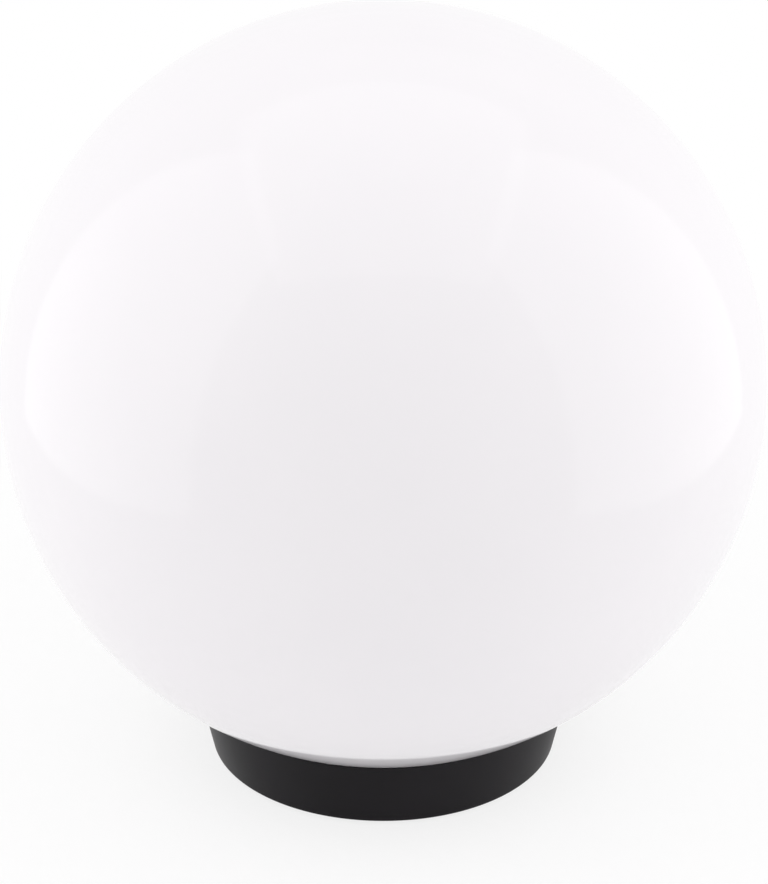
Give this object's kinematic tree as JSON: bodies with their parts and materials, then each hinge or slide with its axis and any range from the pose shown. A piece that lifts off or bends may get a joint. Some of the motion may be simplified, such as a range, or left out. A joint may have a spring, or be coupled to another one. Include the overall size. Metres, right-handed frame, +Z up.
{
  "type": "garden globe light",
  "caption": "Opal globe light for garden or porch: a white sphere that twists off a low dark foot, over a bulb in a screw lampholder.",
  "frame": {"origin": "on the ground, under the globe's centre, at the underside of the rubber feet", "axes": "+Z up along the globe's axis; +Y to the back, where the cable gland points; +X to the right seen from the front"},
  "size_m": [0.3, 0.2998, 0.31],
  "materials": {
    "opal": "opal white acrylic, glossy, lets light through",
    "foot_plastic": "anthracite moulded plastic, satin with a fine grain",
    "plate_plastic": "black moulded plastic, plain",
    "rubber_black": "black rubber, dull",
    "gland_plastic": "black polyamide, satin",
    "terminal_plastic": "natural polyamide, slightly cloudy",
    "brass_bright": "turned brass",
    "zinc_steel": "zinc-plated steel",
    "porcelain": "white glazed porcelain",
    "shell_nickel": "nickel-plated brass sheet",
    "spring_bronze": "phosphor bronze strip",
    "lead_brown": "brown lead insulation",
    "lead_blue": "blue lead insulation",
    "bulb_white": "white thermal plastic, satin",
    "bulb_opal": "frosted white diffuser",
    "bulb_insulator": "black glass-like insulator",
    "cap_nickel": "nickel-plated lamp cap",
    "led_board": "white solder mask on aluminium",
    "tip_solder": "tinned contact"
  },
  "bodies": {
    "foot": {"base_housing": "foot_plastic", "base_plate": "plate_plastic", "plate_seal": "rubber_black", "deck_screws": "zinc_steel", "rubber_feet": "rubber_black", "gland_body": "gland_plastic", "gland_seal": "rubber_black", "gland_nut": "gland_plastic", "gland_cap": "gland_plastic", "terminal_block": "terminal_plastic", "terminal_tubes": "brass_bright", "terminal_screws": "zinc_steel", "terminal_block_screw": "zinc_steel", "lead_live": "lead_brown", "lead_neutral": "lead_blue", "wire_grommet": "rubber_black", "holder_bracket": "zinc_steel", "bracket_screws": "zinc_steel", "holder_body": "porcelain", "holder_screws": "zinc_steel", "screw_shell": "shell_nickel", "holder_terminals": "brass_bright", "holder_terminal_screws": "zinc_steel", "centre_contact": "spring_bronze", "side_contact": "spring_bronze"},
    "gasket": {"globe_gasket": "rubber_black"},
    "globe": {"globe": "opal"},
    "bulb_tip": {"bulb_tip_contact": "tip_solder"},
    "bulb": {"bulb_insulator": "bulb_insulator", "bulb_cap": "cap_nickel", "bulb_body": "bulb_white", "bulb_led_board": "led_board", "bulb_diffuser": "bulb_opal"}
  },
  "joints": [
    {"name": "globe_lift", "type": "slide", "parent": "foot", "child": "gasket", "axis": [0, 0, 1], "range_m": [0, 0.142]},
    {"name": "globe_twist", "type": "hinge", "parent": "gasket", "child": "globe", "pos_m": [0, 0, 0.0236], "axis": [0, 0, 1], "range_deg": [0, 30]},
    {"name": "bulb_rise", "type": "slide", "parent": "foot", "child": "bulb_tip", "axis": [0, 0, 1], "range_m": [0, 0.0109]},
    {"name": "bulb_turn", "type": "hinge", "parent": "bulb_tip", "child": "bulb", "pos_m": [0, 0, 0.05], "axis": [0, 0, 1], "range_deg": [0, 1080]}
  ],
  "couplings": [
    {"joint": "bulb_rise", "follows": "bulb_turn", "m_per_rad": 0.00057757}
  ]
}
